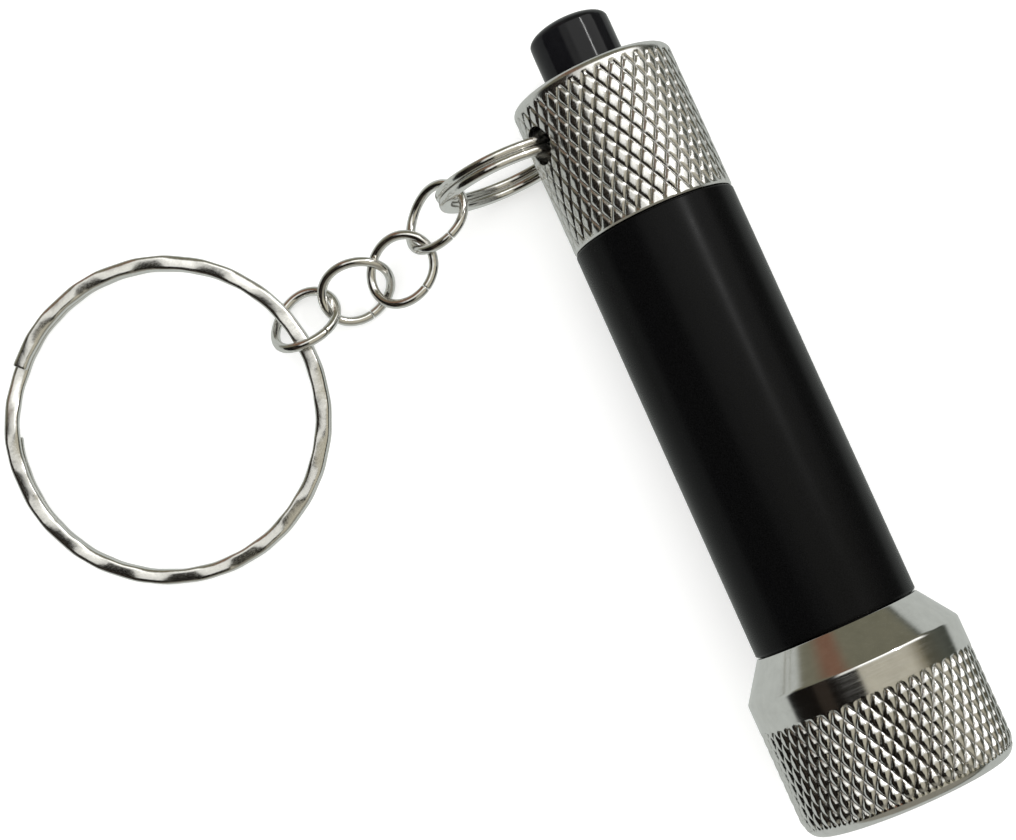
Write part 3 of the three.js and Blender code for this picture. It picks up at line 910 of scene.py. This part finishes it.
class TORCH_OT_key_ring(TorchOperator, Operator):
    """Wind the large hammered key ring"""

    bl_idname = "torch.key_ring"
    bl_label = "Key ring"

    def build(self, sizes, rings, colours):
        towards, tilt, ends = (math.radians(a) for a in (102.2, 2.36, 150.0))
        crossing, rounding, step = 0.45, 0.37, 0.28
        turn = (Matrix.Rotation(towards, 4, "Z") @ Matrix.Rotation(-tilt, 4, "Y")
                @ Matrix.Rotation(ends, 4, "Z"))
        place = middle(turn, "key_ring")
        vertices, faces = wound_ring(
            ring_radius(place, "key_ring", rings.key_band), rings.key_band, rings.key_thickness,
            rings.turn_gap, crossing, rounding, rings.key_marks, rings.key_mark_depth, step)
        vertices, level = levelled(vertices, place)
        finish = plated_nickel("Key ring nickel", colours.nickel, 0.2)
        piece = make_piece("key_ring_hammered", vertices, faces, level, finish)
        fit(piece, "key_ring", "key_ring_nickel", "key_ring")


class TORCH_OT_small_ring(TorchOperator, Operator):
    """Wind the small ring through the tail's holes"""

    bl_idname = "torch.small_ring"
    bl_label = "Small ring"

    def build(self, sizes, rings, colours):
        ends, crossing, rounding, step = math.radians(107), 0.6, 0.31, 0.25
        turn = (TORCH.to_3x3().to_4x4() @ Matrix.Rotation(math.pi / 2, 4, "Y")
                @ Matrix.Rotation(ends, 4, "Z"))
        place = middle(turn, "small_split_ring")
        vertices, faces = wound_ring(
            ring_radius(place, "small_split_ring", rings.small_band), rings.small_band,
            rings.small_thickness, rings.turn_gap, crossing, rounding, 0, 0.0, step)
        vertices, level = levelled(vertices, place)
        finish = plated_nickel("Small ring nickel", colours.nickel, 0.15)
        piece = make_piece("small_ring_wound", vertices, faces, level, finish)
        fit(piece, "small_ring", "ring_nickel", "small_split_ring")


class TORCH_OT_chain(TorchOperator, Operator):
    """Bend the four links of the chain"""

    bl_idname = "torch.chain"
    bl_label = "Chain links"

    # Turn, pitch and roll of each link as it lies, in degrees.
    lies = ((-63.8, 15.1, 36.3), (-59.4, 10.7, 9.0), (-84.7, 4.7, -32.9), (-62.0, -13.9, 34.7))

    def build(self, sizes, rings, colours):
        long, short, twist, seam, step = 3.02, 2.62, 0.28, 0.02, 0.18
        finish = plated_nickel("Link nickel", colours.nickel, 0.14)
        seam_angle = seam / short

        def oval(t):
            a = math.pi / 2 + seam_angle + (2 * math.pi - 2 * seam_angle) * t
            return (long * math.cos(a), short * math.sin(a), twist * math.sin(2 * a))

        wire, faces = round_wire(
            oval, math.pi * (long + short), rings.link_wire / 2, (0.0, 0.0, 1.0), 18, step)
        for number, (turn, pitch, roll) in enumerate(self.lies, 1):
            rotation = Euler([math.radians(a) for a in (roll, pitch, turn)], "XYZ").to_matrix()
            vertices, level = levelled(wire, middle(rotation, f"chain_link_{number}"))
            piece = make_piece(f"link_wire_{number}", vertices, faces, level, finish)
            fit(piece, f"link_{number}", "link_nickel", f"chain_link_{number}")


# ---------------------------------------------------------------- the stage


class TORCH_OT_stage(TorchOperator, Operator):
    """Lay the pale floor, set the soft studio light and place the camera"""

    bl_idname = "torch.stage"
    bl_label = "Stage"

    def build(self, sizes, rings, colours):
        self.floor(colours)
        self.surroundings(colours)
        self.strip()
        self.camera()
        bpy.context.scene.view_settings.view_transform = "Standard"

    def floor(self, colours):
        half, height = 1.5, -0.00002
        corners = [(-half, -half, 0), (half, -half, 0), (half, half, 0), (-half, half, 0)]
        mesh = bpy.data.meshes.new("floor")
        mesh.from_pydata(corners, [], [(0, 1, 2, 3)])
        floor = bpy.data.objects.new("floor", mesh)
        floor.location.z = height
        bpy.context.scene.collection.objects.link(floor)
        paper = Finish("Floor paper", colours.floor, 0.9, 0.0, Specular_IOR_Level=0.0,
                       Emission_Color=(1.0, 1.0, 1.0, 1.0), Emission_Strength=0.28)
        mesh.materials.append(paper.material)
        floor.visible_glossy = False

    def surroundings(self, colours):
        """Even white light, and round it a room of soft cards that only polished surfaces reflect."""
        world = bpy.data.worlds.new("Studio")
        bpy.context.scene.world = world
        world.use_nodes = True
        world.cycles.sampling_method = "NONE"
        room = Nodes(world.node_tree)
        background = next(n for n in room.tree.nodes if n.type == "BACKGROUND")
        x, y, z = room.split(room.node("ShaderNodeTexCoord", out=0))
        around = room.math("ARCTAN2", y, z)
        sideways = room.math("ABSOLUTE", x)

        # Bands that run along X: the angle of each stop from straight up towards +Y, and its colour.
        card = tuple(colours.warm_card)
        paper, dark, flag = (0.51, 0.535, 0.51), (0.007, 0.006, 0.005), (0.028, 0.022, 0.017)
        stops = (
            (-180, paper), (-87, paper), (-84, dark), (-55, dark), (-52, flag), (-39, flag), (-36, dark),
            (-7, dark), (-3, card), (48, card), (62, (0.22, 0.20, 0.14)), (68, (0.085, 0.08, 0.055)),
            (92, (0.08, 0.085, 0.07)), (108, (0.05, 0.055, 0.045)), (114, paper), (180, paper),
        )
        ramp = room.tree.nodes.new("ShaderNodeValToRGB")
        room.tree.links.new(room.spread(around, -math.pi, math.pi), ramp.inputs[0])
        elements = ramp.color_ramp.elements
        while len(elements) > 1:
            elements.remove(elements[0])
        elements[0].position = 0.0
        elements[0].color = (*stops[0][1], 1.0)
        for angle, value in stops[1:]:
            elements.new((angle + 180) / 360).color = (*value, 1.0)
        shown = ramp.outputs[0]

        # Cards in front of the bands: the ranges of direction over which each one fades in, and its colour.
        behind = ((x, -0.50, -0.60), (z, -0.10, -0.02))
        overhead = ((x, -0.02, -0.07), (around, math.radians(-30), math.radians(-22)), (z, 0.15, 0.3))
        window = ((x, -0.2, -0.25), (x, -0.64, -0.58), (around, math.radians(-8), 0.0), (z, 0.2, 0.26))
        wood = (*behind, (y, -0.50, -0.36), (y, -0.08, -0.22))
        below = ((sideways, 0.3, 0.45), (z, -0.10, -0.16))
        ahead = ((x, 0.6, 0.8), (z, -0.08, 0.0))
        for ranges, value in (
            (overhead, (0.85, 0.85, 0.81)), (window, (1.5, 1.5, 1.45)), (behind, (0.165, 0.16, 0.115)),
            (wood, (0.19, 0.105, 0.07)), (below, paper), (ahead, (0.25, 0.24, 0.20)),
        ):
            share = reduce(partial(room.math, "MULTIPLY"), [room.spread(*limits) for limits in ranges])
            shown = room.mix(share, shown, (*value, 1.0))
        path = room.tree.nodes.new("ShaderNodeLightPath")
        shown = room.mix(path.outputs["Is Glossy Ray"], (1.2, 1.2, 1.19, 1.0), shown)
        shown = room.mix(path.outputs["Is Camera Ray"], shown, (1.0, 1.0, 1.0, 1.0))
        room.tree.links.new(shown, background.inputs[0])

    def strip(self):
        """A narrow strip lamp that faces the tail, for a thin bright line on the turned parts."""
        light = bpy.data.lights.new("Strip light", "AREA")
        light.shape, light.size, light.size_y, light.energy = "RECTANGLE", 0.24, 0.03, 0.5
        strip = bpy.data.objects.new("Strip light", light)
        strip.location = (-0.205, 0.409, 0.456)
        tail = Vector((-0.03, 0.024, 0.015))
        facing = (strip.location - tail).normalized()
        side = Vector((1, 0, 0))
        side = (side - side.dot(facing) * facing).normalized()
        strip.rotation_euler = Matrix((side, facing.cross(side), facing)).transposed().to_euler()
        bpy.context.scene.collection.objects.link(strip)

    def camera(self):
        """Straight above the object, with the torch lying up and to the right."""
        height, aside = 0.180, (0.00453, 0.00657)
        centre = (CAD_LOW + CAD_HIGH) / 2
        data = bpy.data.cameras.new("Camera")
        data.lens, data.sensor_width = 74.74, 36.0
        data.shift_x, data.shift_y = -0.0534, 0.1239
        data.clip_start, data.clip_end = 0.005, 10.0
        camera = bpy.data.objects.new("Camera", data)
        right = Vector((0.4076, 0.9132, 0.0)).normalized()
        up = Vector((-right.y, right.x, 0.0))
        turn = Matrix((right, up, Vector((0, 0, 1)))).transposed()
        place = Vector((centre.x + aside[0], centre.y + aside[1], height))
        camera.matrix_world = Matrix.Translation(place) @ turn.to_4x4()
        bpy.context.scene.collection.objects.link(camera)
        bpy.context.scene.camera = camera


class TORCH_PT_pieces(Panel):
    """Buttons that build the pieces, over the sizes and colours that they use"""

    bl_label = "Keychain torch"
    bl_space_type = "VIEW_3D"
    bl_region_type = "UI"
    bl_category = "Torch"

    def draw(self, context):
        for operator in OPERATORS:
            self.layout.operator(operator.bl_idname)
        for group in (context.scene.torch_sizes, context.scene.ring_sizes, context.scene.torch_colours):
            box = self.layout.box()
            for name in group.__annotations__:
                box.prop(group, name)


OPERATORS = (
    TORCH_OT_tail_cap, TORCH_OT_barrel, TORCH_OT_button, TORCH_OT_springs, TORCH_OT_power, TORCH_OT_lamp,
    TORCH_OT_head, TORCH_OT_front, TORCH_OT_small_ring, TORCH_OT_chain, TORCH_OT_key_ring, TORCH_OT_stage,
)
CLASSES = (TorchSizes, RingSizes, TorchColours, *OPERATORS, TORCH_PT_pieces)


def register():
    for cls in CLASSES:
        bpy.utils.register_class(cls)
    bpy.types.Scene.torch_sizes = PointerProperty(type=TorchSizes)
    bpy.types.Scene.ring_sizes = PointerProperty(type=RingSizes)
    bpy.types.Scene.torch_colours = PointerProperty(type=TorchColours)


def unregister():
    del bpy.types.Scene.torch_sizes, bpy.types.Scene.ring_sizes, bpy.types.Scene.torch_colours
    for cls in reversed(CLASSES):
        bpy.utils.unregister_class(cls)


def main():
    register()
    for operator in OPERATORS:
        group, name = operator.bl_idname.split(".")
        getattr(getattr(bpy.ops, group), name)()
    bpy.context.view_layer.update()


if __name__ == "__main__":
    main()
